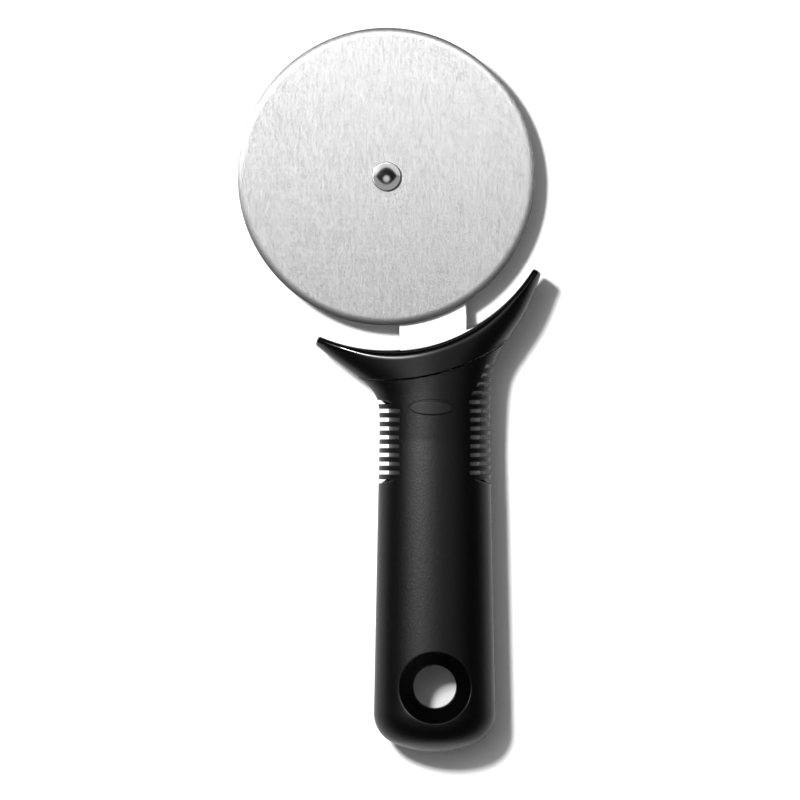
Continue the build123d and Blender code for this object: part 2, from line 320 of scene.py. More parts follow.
class Surface(Graph):
    """A new material, whose patterns follow the piece's own coordinates."""

    def __init__(self, name):
        self.material = bpy.data.materials.new(name)
        self.material.use_nodes = True
        super().__init__(self.material.node_tree)

    def place(self):
        return self.out("ShaderNodeTexCoord", output="Object")

    def noise(self, place, scale, detail, **more):
        links = {"Vector": place, "Scale": scale, "Detail": detail, **more}
        return self.out("ShaderNodeTexNoise", links=links)

    def bump(self, height, strength, distance, **more):
        links = {"Height": height, "Strength": strength, "Distance": distance, **more}
        return self.out("ShaderNodeBump", links=links)

    def finish(self, tint, **values):
        """Sets the shader's sockets, whose names have underscores here, and gives the material."""
        values["Base_Color"] = tint if isinstance(tint, Socket) else (*tint, 1.0)
        shader = self.tree.nodes["Principled BSDF"]
        for name, value in values.items():
            self.join(value, shader.inputs[name.replace("_", " ")])
        return self.material


# Meshes


def sharpen(mesh, angle):
    """Shades a mesh smooth, apart from edges steeper than the angle."""
    mesh.shade_smooth()
    mesh.set_sharp_from_angle(angle=angle)


def close_up(mesh):
    """Merges doubled points, drops what has no face, and turns the faces outward."""
    shape = bmesh.new()
    shape.from_mesh(mesh)
    bmesh.ops.remove_doubles(shape, verts=shape.verts, dist=2e-7)
    bmesh.ops.dissolve_degenerate(shape, edges=shape.edges, dist=1e-8)
    loose = [edge for edge in shape.edges if not edge.link_faces]
    bmesh.ops.delete(shape, geom=loose, context="EDGES")
    bmesh.ops.recalc_face_normals(shape, faces=shape.faces)
    if shape.calc_volume(signed=True) < 0:
        bmesh.ops.reverse_faces(shape, faces=shape.faces)
    shape.to_mesh(mesh)
    shape.free()


def mesh_piece(name, points, faces, material, angle=math.radians(40), **stored):
    """A closed mesh as a new object, with doubled points merged and its faces outward."""
    mesh = bpy.data.meshes.new(name)
    mesh.from_pydata([tuple(p) for p in points], [], faces)
    for label, vectors in stored.items():
        attribute = mesh.attributes.new(label, "FLOAT_VECTOR", "POINT")
        attribute.data.foreach_set("vector", vectors.astype(np.float32).ravel())
    close_up(mesh)
    sharpen(mesh, angle)
    mesh.materials.append(material)
    piece = bpy.data.objects.new(name, mesh)
    bpy.context.scene.collection.objects.link(piece)
    return piece


def grid_faces(rows, columns, closed_rows=False, start=0):
    """Faces between rows of points, each row being a loop."""
    faces = []
    for row in range(rows if closed_rows else rows - 1):
        here = start + row * columns
        there = start + (row + 1) % rows * columns
        for column in range(columns):
            after = (column + 1) % columns
            faces.append((here + column, here + after, there + after, there + column))
    return faces


def end_caps(rows, columns):
    """Faces that close the first and the last loop."""
    return [tuple(range(columns)), tuple(range((rows - 1) * columns, rows * columns))]


def quarter(count):
    """How far a quarter circle has come in and gone up, from 0 to 1, at even steps."""
    return [(1 - math.cos(turn), math.sin(turn)) for turn in np.linspace(0, math.pi / 2, count)]


def soften(profile, radius, steps=4):
    """A closed outline with each corner off the axis rounded."""
    rounded = []
    count = len(profile)
    for index, spot in enumerate(profile):
        corner = Vector(spot)
        before = Vector(profile[index - 1]) - corner
        after = Vector(profile[(index + 1) % count]) - corner
        half = before.angle(after) / 2
        cut = radius / math.tan(half) if half > TINY else 0
        cut = min(cut, before.length / 2, after.length / 2)
        if corner.x < TINY or cut < TINY or half > math.radians(85):
            rounded.append(spot)
            continue
        start = corner + before.normalized() * cut
        end = corner + after.normalized() * cut
        for share in np.linspace(0, 1, steps + 1):
            rounded.append(tuple(start.lerp(corner, share).lerp(corner.lerp(end, share), share)))
    return rounded


def turned(name, profile, material, segments=256, angle=math.radians(40)):
    """A turned piece on the wheel's axis, from a closed outline of radius and height."""
    points = []
    for radius, height in profile:
        for turn in np.arange(segments) * math.tau / segments:
            x = WHEEL.x + radius * math.cos(turn)
            points.append((x, WHEEL.y + radius * math.sin(turn), height))
    faces = grid_faces(len(profile), segments, closed_rows=True)
    return mesh_piece(name, points, faces, material, angle)


def tube_outline(inner, outer, low, high):
    """The closed outline of a tube, in radius and height."""
    return [(inner, low), (outer, low), (outer, high), (inner, high)]


def combine(piece, tool, operation, angle=math.radians(40)):
    """Cuts a piece with a tool, or joins them, and takes the tool away."""
    modifier = piece.modifiers.new("Combine", "BOOLEAN")
    modifier.operation = operation
    modifier.solver = "EXACT"
    modifier.object = tool
    made_plain(piece)
    bpy.data.objects.remove(tool)
    sharpen(piece.data, angle)


def made_plain(piece):
    """Turns a piece with modifiers into a plain mesh."""
    bpy.context.view_layer.update()
    evaluated = piece.evaluated_get(bpy.context.evaluated_depsgraph_get())
    mesh = bpy.data.meshes.new_from_object(evaluated)
    piece.modifiers.clear()
    old = piece.data
    piece.data = mesh
    bpy.data.meshes.remove(old)
    mesh.name = piece.name


def outset(loop, amount):
    """A closed loop in a plane, moved out by an amount along its own normals."""
    loop = np.asarray(loop, float)
    tangent = 0
    for step in (np.roll(loop, -1, axis=0) - loop, loop - np.roll(loop, 1, axis=0)):
        tangent = tangent + step / np.maximum(np.linalg.norm(step, axis=1), TINY)[:, None]
    tangent /= np.maximum(np.linalg.norm(tangent, axis=1), TINY)[:, None]
    normal = np.stack([tangent[:, 1], -tangent[:, 0]], axis=1)
    area = np.sum(loop[:, 0] * np.roll(loop[:, 1], -1) - np.roll(loop[:, 0], -1) * loop[:, 1])
    return loop + normal * amount * (1 if area > 0 else -1)


def plate(name, outline, low, high, softness, material, steps=4):
    """A flat plate of any outline with rounded edges."""
    round_off = [(softness * near, softness * (1 - up)) for near, up in quarter(steps + 1)]
    round_off.append((1.4 * softness, 0))
    rings = [(outset(outline, -inset), low + rise) for inset, rise in reversed(round_off)]
    rings += [(outset(outline, -inset), high - rise) for inset, rise in round_off]
    points = [(x, y, height) for ring, height in rings for x, y in ring]
    size = (len(rings), len(outline))
    return mesh_piece(name, points, grid_faces(*size) + end_caps(*size), material)


# The handle's form


def smooth(share):
    """A share from 0 to 1 that starts and ends gently."""
    share = np.clip(share, 0, 1)
    return share * share * (3 - 2 * share)


def bisect(below, shape):
    """The share from 0 to 1 up to which below() holds, at each place."""
    near, far = np.zeros(shape), np.ones(shape)
    for _ in range(40):
        middle = (near + far) / 2
        under = below(middle)
        near = np.where(under, middle, near)
        far = np.where(under, far, middle)
    return near


def run_along(points):
    """The length of a line up to each of its points."""
    return np.concatenate([[0], np.cumsum(np.linalg.norm(np.diff(points, axis=0), axis=1))])


def between(places, known, points):
    """Points read off a line at places between the known ones."""
    return np.stack([np.interp(places, known, points[:, axis]) for axis in (0, 1)], -1)


def evenly(line, count):
    """Points spaced evenly along a line."""
    run = run_along(line)
    return between(np.linspace(0, run[-1], count), run, line)


def spline_through(points, count):
    """A natural cubic curve through points, sampled evenly along its length."""
    knots = run_along(points)
    gaps = np.diff(knots)
    size = len(points)
    matrix = np.eye(size)
    right = np.zeros((size, 2))
    slopes = np.diff(points, axis=0) / gaps[:, None]
    for row in range(1, size - 1):
        before, after = gaps[row - 1], gaps[row]
        matrix[row, row - 1 : row + 2] = before, 2 * (before + after), after
        right[row] = 6 * (slopes[row] - slopes[row - 1])
    bend = np.linalg.solve(matrix, right)
    places = np.linspace(0, knots[-1], 8 * count)
    span = np.clip(np.searchsorted(knots, places, side="right") - 1, 0, size - 2)
    low = (knots[span + 1] - places)[:, None]
    high = (places - knots[span])[:, None]
    gap = gaps[span][:, None]
    curve = (
        (bend[span] * low**3 + bend[span + 1] * high**3) / (6 * gap)
        + (points[span] / gap - bend[span] * gap / 6) * low
        + (points[span + 1] / gap - bend[span + 1] * gap / 6) * high
    )
    return evenly(curve, count)


def round_wheel(radius, angle):
    """A point at a radius from the wheel's axis, its angle taken from the handle's side."""
    return WHEEL.x + radius * np.sin(angle), WHEEL.y - radius * np.cos(angle)


class HandleForm:
    """The outer form of grip and guard together, as a half depth over the plan."""

    def __init__(self, handle, guard):
        self.handle = handle
        self.guard = guard
        run = handle.top - handle.butt_corner_y
        self.slope = (handle.butt_half_width - handle.half_width) / run
        self.place_butt()
        self.along = np.linspace(0, 1, 2000)
        self.edges = []
        for side, shares in ((-1, LEFT_FLARE_SHARES), (1, RIGHT_FLARE_SHARES)):
            start = np.array((side * handle.half_width, handle.top))
            tip = np.array(round_wheel(guard.tip, guard.lean + side * guard.half_span))
            points = start + np.array(shares) * (tip - start)
            self.edges.append(spline_through(points, len(self.along)))
        start_depth = handle.half_width * handle.depth
        self.depths = start_depth + self.along * (guard.half_depth - start_depth)

    def place_butt(self):
        """Finds the centre of the butt's rounded corner and where it starts and ends."""
        handle = self.handle
        self.arc_y = handle.end + handle.butt_radius
        lean = math.hypot(1, self.slope)
        reach = handle.half_width + self.slope * handle.top - handle.butt_corner * lean
        inner = handle.butt_radius - handle.butt_corner
        a = 1 + self.slope**2
        b = -2 * self.slope * reach - 2 * self.arc_y
        c = reach**2 + self.arc_y**2 - inner**2
        self.corner_y = (-b - math.sqrt(b * b - 4 * a * c)) / (2 * a)
        self.corner_x = reach - self.slope * self.corner_y
        self.corner_high = self.corner_y + handle.butt_corner * self.slope / lean
        toward = (self.corner_y - self.arc_y) / inner
        self.corner_low = self.arc_y + handle.butt_radius * toward

    def half_width(self, y):
        """Half the handle's width below the flare."""
        handle = self.handle
        side = handle.half_width + self.slope * (handle.top - y)
        corner = np.sqrt(np.maximum(handle.butt_corner**2 - (y - self.corner_y) ** 2, 0))
        corner = self.corner_x + corner
        end = np.sqrt(np.maximum(handle.butt_radius**2 - (y - self.arc_y) ** 2, 0))
        return np.where(y > self.corner_high, side, np.where(y > self.corner_low, corner, end))

    def edge_at(self, side, share):
        """A point of the flare's left or right edge."""
        return between(share, self.along, self.edges[side])

    def half_depth(self, x, y):
        """The height of the surface over the handle's mid-plane."""
        x, y = np.broadcast_arrays(np.asarray(x, float), np.asarray(y, float))
        width = self.half_width(y)
        low = self.handle.depth * np.sqrt(np.maximum(width**2 - x**2, 0))
        place = np.stack([x, y], -1)

        def across_at(share):
            """The line across the flare, and the place as seen from its left end."""
            left = self.edge_at(0, share)
            return self.edge_at(1, share) - left, place - left

        def below(share):
            across, beyond = across_at(share)
            return across[..., 0] * beyond[..., 1] - across[..., 1] * beyond[..., 0] > 0

        near = bisect(below, x.shape)
        across, beyond = across_at(near)
        share = np.sum(beyond * across, -1) / np.sum(across**2, -1)
        off = np.clip(2 * share - 1, -1, 1)
        # The flare's section grows from an oval to one that is cut off steeply at its sides.
        grown = smooth(near / 0.8)
        high = np.interp(near, self.along, self.depths)
        high = high * np.sqrt(1 - ((1 - self.guard.wall * grown) * off) ** 2)
        high = high * (1 - off**12) ** (grown / 4)
        return np.where(y > self.handle.top, high, low)

    def side_x(self, side, y):
        """The X of the outline at one side, below the seam."""
        edge = self.edges[side]
        flare = np.interp(y, edge[:, 1], edge[:, 0])
        return np.where(y > self.handle.top, flare, (2 * side - 1) * self.half_width(y))

    def seam_y(self, x):
        """The Y of the grip's end along the seam."""
        seam = self.guard.seam + self.guard.seam_gap
        return WHEEL.y - np.sqrt(seam**2 - (x - WHEEL.x) ** 2)

    def outline_radius(self, angle):
        """The radius of the outline from the wheel's axis, at an angle, and up to the seam."""
        radii = []
        for edge in self.edges:
            x, y = edge[:, 0] - WHEEL.x, WHEEL.y - edge[:, 1]
            turns = np.arctan2(x, y)
            order = np.argsort(turns)
            radii.append(np.interp(angle, turns[order], np.hypot(x, y)[order]))
        return np.where(angle < self.guard.lean, *radii)


class RecessForm:
    """The hollow at the handle's sides that the squeeze fins stand in."""

    def __init__(self, form, fins):
        self.form = form
        self.fins = fins
        self.first_gap = fins.first - fins.pitch / 2
        self.low = self.first_gap - fins.low_ramp / 2
        end = self.first_gap + fins.low_ramp / 2
        self.high = [end + fins.left * fins.pitch, end + fins.right * fins.pitch]
        self.ramps = [fins.left_ramp, fins.right_ramp]

    def radius(self, side, y):
        """The recess's radius at one side, and a far greater one past its ends."""
        fins = self.fins
        high = self.high[side]
        places = [self.low, self.low + fins.low_ramp, high - self.ramps[side], high]
        radii = [fins.radius + fins.rise, fins.radius, fins.radius, fins.radius + fins.rise]
        return np.where((y > self.low) & (y < high), np.interp(y, places, radii), 10 * fins.radius)

    def floor_x(self, side, x, y, z):
        """The X that a point of the outer surface has on the recess's floor."""
        radius = self.radius(side, y)
        reach = self.fins.offset + np.sqrt(np.maximum(radius**2 - z**2, 0))
        return np.maximum(x, -reach) if side == 0 else np.minimum(x, reach)

    def boundary(self, side, y):
        """How far from the middle the recess starts on the surface, its short run-outs left off."""
        fins, high, ramp = self.fins, self.high[side], self.ramps[side]
        long_ramp = ramp > 2 * fins.pitch
        y = np.clip(y, self.low, high - (0 if long_ramp else ramp))
        over = np.clip((y - high + ramp) / ramp, 0, 1) * long_ramp
        radius = fins.radius + fins.rise * over
        spots = np.linspace(4 * MM, 26 * MM, 900)[:, None]
        depth = self.form.half_depth(spots * (2 * side - 1), y[None, :])
        beyond = (spots - fins.offset) ** 2 + depth**2 - radius[None, :] ** 2
        return spots[np.argmax(beyond > 0, axis=0), 0]


def fin_levels(fins):
    """The levels along the handle that one gap and one fin need, from the gap's middle."""
    half = (fins.pitch - fins.thickness) / 2
    soft = fins.softness
    edge = [half + soft, half + 0.6 * soft, half + 0.3 * soft, half + 0.1 * soft, half + 5e-6]
    rising = edge + [half - 1e-5, half / 3]
    return [-level for level in rising] + rising[::-1] + [fins.pitch / 2]


def squeeze_fin_tree(material):
    """The tree that lets the gaps between the fins down to the recess's floor."""
    tree = bpy.data.node_groups.new("Squeeze fins", "GeometryNodeTree")
    graph = Graph(tree)
    tree.interface.new_socket("Geometry", in_out="INPUT", socket_type="NodeSocketGeometry")
    named = {}
    for name in ("Pitch", "Thickness", "First gap", "Softness"):
        socket = tree.interface.new_socket(name, in_out="INPUT", socket_type="NodeSocketFloat")
        named[name] = socket.identifier
    tree.interface.new_socket("Geometry", in_out="OUTPUT", socket_type="NodeSocketGeometry")
    entry = graph.node("NodeGroupInput")
    pitch, thickness, first, soft = (Socket(graph, entry.outputs[name]) for name in named)
    position = graph.out("GeometryNodeInputPosition")
    floor = graph.out(
        "GeometryNodeInputNamedAttribute", {"data_type": "FLOAT_VECTOR"}, {"Name": "recess_floor"}
    )
    along = graph.parts(position)[1] - first
    nearest = (along / pitch).math("ROUND") * pitch
    from_edge = (along - nearest).math("ABSOLUTE") - (pitch - thickness) / 2
    in_gap = from_edge < 0
    left_over = (soft - from_edge).math("MAXIMUM", 0)
    inset = soft - (soft * soft - left_over * left_over).math("MAXIMUM", 0).math("SQRT")
    way = graph.vector_maths("SUBTRACT", floor, position)
    depth = graph.vector_maths("LENGTH", way, output="Value").math("MAXIMUM", 1e-7)
    share = (inset / depth).math("MINIMUM", 1).math("MAXIMUM", in_gap)
    offset = graph.out("ShaderNodeVectorMath", {"operation": "SCALE"}, {0: way, "Scale": share})
    geometry = Socket(graph, entry.outputs["Geometry"])
    for kind, settings, links in (
        ("GeometryNodeSetPosition", {}, {"Offset": offset}),
        (
            "GeometryNodeStoreNamedAttribute",
            {"data_type": "FLOAT", "domain": "POINT"},
            {"Name": "gap", "Value": in_gap * (depth > 0.2 * MM)},
        ),
        ("GeometryNodeRealizeInstances", {}, {}),
        ("GeometryNodeSetMaterial", {}, {"Material": material}),
    ):
        geometry = graph.out(kind, settings, {"Geometry": geometry, **links})
    graph.node("NodeGroupOutput", links={"Geometry": geometry})
    return tree, named


class Row:
    """A row of the grip's skin: a curve over the plan that turns into the seam's curve."""

    def __init__(self, form, ends, bend, share):
        self.form = form
        self.ends = ends
        self.bend = bend
        self.share = share

    def y(self, x):
        left, right = self.ends
        start, end = self.bend
        own = left + (right - left) * smooth((x - start) / (end - start))
        lowered = self.form.seam_y(x) - (self.form.handle.softness if self.share >= 1 else 0)
        return (1 - self.share) * own + self.share * lowered

    def end(self, side):
        """The point where the row meets the outline on one side."""
        y = self.ends[side]
        if self.share == 0 and y <= self.form.handle.top:
            return float(self.form.side_x(side, y)), y

        def below(share):
            point = self.form.edge_at(side, share)
            return point[:, 1] < self.y(point[:, 0])

        return self.form.edge_at(side, bisect(below, 1))[0]


def grip_rows(form, recess):
    """The rows of the grip's skin: level ones, one for each level of the fins, and the last."""
    fins = recess.fins
    left_top, right_top = recess.high
    rows = [(y, y, 0.0) for y in np.arange(JOIN_Y, recess.low - 0.2 * MM, ROW_STEP)]
    left_last = form.seam_y(-20 * MM) - ROW_STEP
    for gap in range(fins.right + 1):
        for level in fin_levels(fins):
            y = recess.first_gap + gap * fins.pitch + level
            if y < rows[-1][1]:
                continue
            over = max(y - left_top, 0) / (right_top - left_top)
            rows.append((min(y, left_top) + over * (left_last - left_top), y, 0.0))
    rows += [(*rows[-1][:2], share) for share in np.linspace(0, 1, 12)[1:]]
    starts = [recess.boundary(side, np.array([row[side] for row in rows])) for side in SIDES]
    # A row stays level over both recesses and slopes between them.
    inside = 0.4 * MM
    right_most = 19.5 * MM
    made = []
    for (left, right, share), left_start, right_start in zip(rows, *starts):
        left_x = -min(max(left_start - inside, 9 * MM), 12 * MM)
        right_x = min(max(right_start - inside, 8 * MM), right_most)
        if right > right_top:
            right_x = right_most
        made.append(Row(form, (left, right), (left_x, right_x), share))
    return made


def section_angles(left, right):
    """Angles over one half of a section, with lines kept where the recesses start."""
    return np.concatenate(
        [
            np.linspace(0, left, SIDE_CELLS + 1)[:-1],
            np.linspace(left, math.pi - right, MIDDLE_CELLS + 1)[:-1],
            np.linspace(math.pi - right, math.pi, SIDE_CELLS + 1),
        ]
    )


def grip_skin(form, recess):
    """The grip's outer rows, from the butt's patch to the seam, and their recess floors."""
    rows = grip_rows(form, recess)
    ends = np.array([[row.end(side) for side in SIDES] for row in rows])
    starts = [recess.boundary(side, ends[:, side, 1]) for side in SIDES]
    usual, least = math.radians(51), math.radians(14)
    level_until = 30 * MM
    near = smooth((ends[:, 1, 1] - level_until) / (recess.low - level_until))
    skin, floors = [], []
    for index, row in enumerate(rows):
        (left_x, left_y), (right_x, right_y) = ends[index]
        centre = (left_x + right_x) / 2
        half = (right_x - left_x) / 2
        turns = []
        for side, middle in ((0, centre), (1, -centre)):
            reach = (starts[side][index] + middle) / half
            turn = max(math.acos(min(reach, 1.0)), least)
            turns.append(usual + (turn - usual) * near[index])
        x = centre - half * np.cos(section_angles(*turns))
        y = row.y(x)
        top = np.stack([x, y, form.half_depth(x, y)], 1)
        top[0] = (left_x, left_y, 0)
        top[-1] = (right_x, right_y, 0)
        loop = np.concatenate([top, top[-2:0:-1] * (1, 1, -1)])
        skin.append(loop)
        floor = loop.copy()
        for side in SIDES:
            floor[:, 0] = recess.floor_x(side, floor[:, 0], loop[:, 1], loop[:, 2])
        floors.append(floor)
    return skin, floors


def seam_end(loop, form, rings=8):
    """The rounded edge from the skin's last row into the seam, and the rings that close the end."""
    soft = form.handle.softness
    loops = []
    for near, up in quarter(5)[1:]:
        moved = loop.copy()
        moved[:, [0, 2]] = outset(loop[:, [0, 2]], -soft * near)
        moved[:, 1] += soft * up
        loops.append(moved)
    plan = loops[-1][:, [0, 2]]
    centre = plan.mean(axis=0)
    for share in np.linspace(1, 0, rings + 1)[1:]:
        ring = loops[-1].copy()
        ring[:, [0, 2]] = centre + (plan - centre) * share
        ring[:, 1] = form.seam_y(ring[:, 0])
        loops.append(ring)
    return loops


def butt_patch(form, first_row):
    """The butt round the hang hole: rays from the dish's rim to the join and the outline."""
    handle = form.handle
    half = len(first_row) // 2
    join = first_row[: half + 1]
    levels = np.linspace(0, 1, 1500)
    low = handle.end + (JOIN_Y - handle.end) * (1 - np.cos(levels * math.pi / 2))
    right = np.stack([form.half_width(low), low], 1)[::-1]
    right[-1, 0] = 0
    outline = np.concatenate([right, (right * (-1, 1))[::-1][1:]])
    side_points = 120
    sides = evenly(outline, side_points + 2)[1:-1]
    edge = np.concatenate([join[:, :2], sides])
    edge_z = np.concatenate([join[:, 2], np.zeros(len(sides))])
    turn = np.arctan2(edge[:, 1], edge[:, 0])
    ray = np.stack([np.cos(turn), np.sin(turn)], 1)
    soft = handle.softness
    rim = handle.dish
    step = 0.05 * MM

    def height(radius):
        return form.half_depth(ray[:, 0] * radius, ray[:, 1] * radius)

    slope = (height(rim + soft - step) - height(rim + soft + step)) / (2 * step)
    lean = np.hypot(1, slope)
    centre_z = height(rim + soft) - soft * lean
    start_radius = rim + soft + soft * slope / lean
    inner = ray * start_radius[:, None]
    rings = [np.column_stack([edge, edge_z])]
    cells = 20
    for cell in range(cells - 1, 0, -1):
        spot = inner + (edge - inner) * math.sin(cell / cells * math.pi / 2)
        rings.append(np.column_stack([spot, form.half_depth(*spot.T)]))
    for share in np.linspace(0, 1, 6):
        angle = np.arctan(slope) * (1 - share) - math.pi / 2 * share
        radius = rim + soft + soft * np.sin(angle)
        z = centre_z + soft * np.cos(angle)
        rings.append(np.column_stack([ray * radius[:, None], z]))
    wall_z = handle.depth * math.sqrt(handle.butt_half_width**2 - rim**2) - handle.dish_wall
    corners = [
        (0, 0),
        (handle.hole, 0),
        (handle.hole, handle.hole_half),
        (rim, wall_z),
        (rim, 2 * wall_z),
        (0, 2 * wall_z),
    ]
    for radius, z in reversed(soften(corners, 0.35 * MM)):
        if radius > TINY and 0 < z < 1.5 * wall_z:
            rings.append(np.column_stack([ray * radius, np.full(len(ray), z)]))
    return rings


def grip_mesh(name, form, recess, material):
    """The grip's closed skin, with the place of the recess's floor kept at each point."""
    skin, floors = grip_skin(form, recess)
    tail = seam_end(skin[-1], form)
    rings = butt_patch(form, skin[0])
    patch = rings + [ring * (1, 1, -1) for ring in reversed(rings)]
    rows, columns = len(skin) + len(tail), len(skin[0])
    faces = grid_faces(rows, columns)
    faces += grid_faces(len(patch), len(rings[0]), start=rows * columns)
    points = np.concatenate(skin + tail + patch)
    floor = np.concatenate(floors + tail + patch)
    return mesh_piece(name, points, faces, material, recess_floor=floor)


def oval_solid(name, form, badge, half_width, half_height, edge, material):
    """A thin oval on the grip's surface, its edge given as insets and heights over the grip."""
    turns = np.linspace(0, math.tau, 160, endpoint=False)
    shares = np.linspace(0, 1, 16)
    low_inset, low_height = edge[0]
    high_inset, high_height = edge[-1]
    places = [(low_inset, share, low_height) for share in shares[:-1]]
    places += [(inset, 1, height) for inset, height in edge]
    places += [(high_inset, share, high_height) for share in shares[-2::-1]]
    rings = []
    for inset, share, height in places:
        x = badge.x + share * (half_width - inset) * np.cos(turns)
        y = badge.y + share * (half_height - inset) * np.sin(turns)
        rings.append(np.column_stack([x, y, form.half_depth(x, y) + height]))
    faces = grid_faces(len(rings), len(turns))
    return mesh_piece(name, np.concatenate(rings), faces, material)


# The guard's form


def guard_angles(form):
    """Angles round the wheel, closer where the seam's ends and the tips' rounds are."""
    guard = form.guard
    low, high = guard.lean - guard.half_span, guard.lean + guard.half_span
    table = np.linspace(low, high, 4001)
    inside = table[form.outline_radius(table) > guard.seam]
    near = np.radians([0.02, 0.08, 0.2, 0.45, 0.8, 1.3])
    angles = list(np.linspace(low, high, 150))
    for mark in (inside[0], inside[-1]):
        angles += [mark, *(mark + near), *(mark - near)]
    for _, up in quarter(7):
        place = guard.tip_round * (1 - up) / guard.inner
        angles += [low + place, high - place]
    return np.array(sorted({round(angle, 9) for angle in angles}))


def guard_sections(form):
    """Closed sections of the guard in radius and height, one at each angle round the wheel."""
    guard = form.guard
    angles = guard_angles(form)
    low, high = angles[0], angles[-1]
    outer = np.minimum(form.outline_radius(angles), guard.seam)

    def height(radius):
        return form.half_depth(*round_wheel(radius, angles[:, None]))

    # The mouth's wall, upright and then flared, with the rolled rim that touches wall and face
    flare = guard.mouth_flare
    tall = guard.half_depth - guard.mouth_straight
    bulge = (flare**2 + tall**2) / (2 * flare)
    crest = height(np.full((len(angles), 1), guard.inner + guard.rim))
    grown = smooth((crest - guard.thin_height) / (0.95 * guard.half_depth - guard.thin_height))
    rim = guard.thin_rim + (guard.rim - guard.thin_rim) * grown
    sweep = np.linspace(-1, 1, 400)
    spin = np.maximum(sweep, 0) * tall / bulge
    centre_r = guard.inner + bulge - (bulge - rim) * np.cos(spin)
    upright = guard.mouth_straight * (1 + sweep)
    flared = guard.mouth_straight + (bulge - rim) * np.sin(spin)
    centre_z = np.where(sweep < 0, upright, flared)
    step = 0.02 * MM
    slope = (height(centre_r + step) - height(centre_r - step)) / (2 * step)
    gap = (height(centre_r) - centre_z) / np.hypot(1, slope) - rim
    first = np.maximum(np.argmax(gap < 0, axis=1), 1)[:, None]

    def around(values):
        values = np.broadcast_to(values, gap.shape)
        return [np.take_along_axis(values, place, 1) for place in (first - 1, first)]

    before, after = around(gap)
    mix = np.clip(before / np.maximum(before - after, TINY), 0, 1)

    def at_contact(values):
        before, after = around(values)
        return (before + mix * (after - before))[:, 0]

    place_r, place_z = at_contact(centre_r), at_contact(centre_z)
    turn_in = math.pi - at_contact(spin)
    turn_out = np.arctan2(1, -at_contact(slope))
    rim = rim[:, 0]
    sections = []
    for share in np.linspace(0, 1, 9)[:-1]:
        z = (place_z + rim * np.sin(turn_in)) * share
        lift = np.maximum(z - guard.mouth_straight, 0)
        sections.append((guard.inner + bulge - np.sqrt(bulge**2 - lift**2), z))
    for share in np.linspace(0, 1, 14):
        turn = turn_in + (turn_out - turn_in) * share
        sections.append((place_r + rim * np.cos(turn), place_z + rim * np.sin(turn)))

    # The face, its round into the seam, and the foot down to the mid-plane
    start_r = sections[-1][0]
    uncut = outer >= guard.seam - 1e-7
    seam_soft = np.minimum(form.handle.softness, 0.6 * height(outer[:, None])[:, 0] * uncut)
    end_r = outer - seam_soft
    cells = 24
    for cell in range(1, cells + 1):
        r = start_r + (end_r - start_r) * math.sin(cell / cells * math.pi / 2)
        z = height(r[:, None])[:, 0]
        sections.append((r, z if cell < cells else z * uncut))
    last_z = sections[-1][1]
    for near, up in quarter(5)[1:]:
        sections.append((end_r + seam_soft * up, np.maximum(last_z - seam_soft * near, 0)))
    foot_r, foot_z = sections[-1]
    sections += [(foot_r, foot_z * share) for share in np.linspace(1, 0, 7)[1:]]
    half = np.moveaxis(np.array(sections), 2, 0)
    loops = np.concatenate([half, half[:, -2:0:-1] * (1, -1)], axis=1)

    # The tips' rounds, which draw the end sections in
    soft = guard.tip_round
    from_end = np.clip(np.minimum(angles - low, high - angles) * guard.inner, 0, soft)
    inset = soft - np.sqrt(soft**2 - (soft - from_end) ** 2)
    least, most = loops.min(axis=1), loops.max(axis=1)
    middle = ((least + most) / 2)[:, None]
    shrink = 1 - 2 * inset[:, None] / (most - least)
    return angles, middle + (loops - middle) * shrink[:, None]


def guard_mesh(name, form, material):
    """The closed crescent of the finger guard."""
    angles, loops = guard_sections(form)
    points = []
    for angle, loop in zip(angles, loops):
        points.append(np.column_stack([*round_wheel(loop[:, 0], angle), loop[:, 1]]))
    size = (len(angles), len(loops[0]))
    faces = grid_faces(*size) + end_caps(*size)
    return mesh_piece(name, np.concatenate(points), faces, material, math.radians(35))


# The arm's outline


def swept_edge(start, end, steps=24):
    """Two equal tangent arcs from one upright line to another."""
    start, end = Vector(start), Vector(end)
    middle = (start + end) / 2
    across = middle.x - start.x
    along = middle.y - start.y
    radius = (across**2 + along**2) / (2 * abs(across))
    side = math.copysign(1, across)
    reach = math.asin(min(abs(along) / radius, 1.0))
    if abs(across) > radius:
        reach = math.pi - reach
    rise = math.copysign(radius, along)
    first = [
        (start.x + side * radius * (1 - math.cos(turn)), start.y + rise * math.sin(turn))
        for turn in np.linspace(0, reach, steps)
    ]
    second = [(2 * middle.x - x, 2 * middle.y - y) for x, y in reversed(first)]
    return first + second[1:]


def arm_outline(arm, grow=0.0):
    """The arm's plate in plan, from its curved shoulder to the boss behind the wheel."""
    left, right = arm.left - grow, arm.right + grow
    shoulder, boss = arm.shoulder + grow, arm.boss + grow
    start, end = (math.asin((x - WHEEL.x) / shoulder) for x in (left, right))
    points = [round_wheel(shoulder, angle) for angle in np.linspace(start, end, 40)]
    points += swept_edge((right, arm.straight), (WHEEL.x + boss, WHEEL.y))
    points += [round_wheel(boss, turn) for turn in np.linspace(math.pi / 2, 1.5 * math.pi, 50)[1:-1]]
    points += reversed(swept_edge((left, arm.straight), (WHEEL.x - boss, WHEEL.y)))
    return points


# Finishes


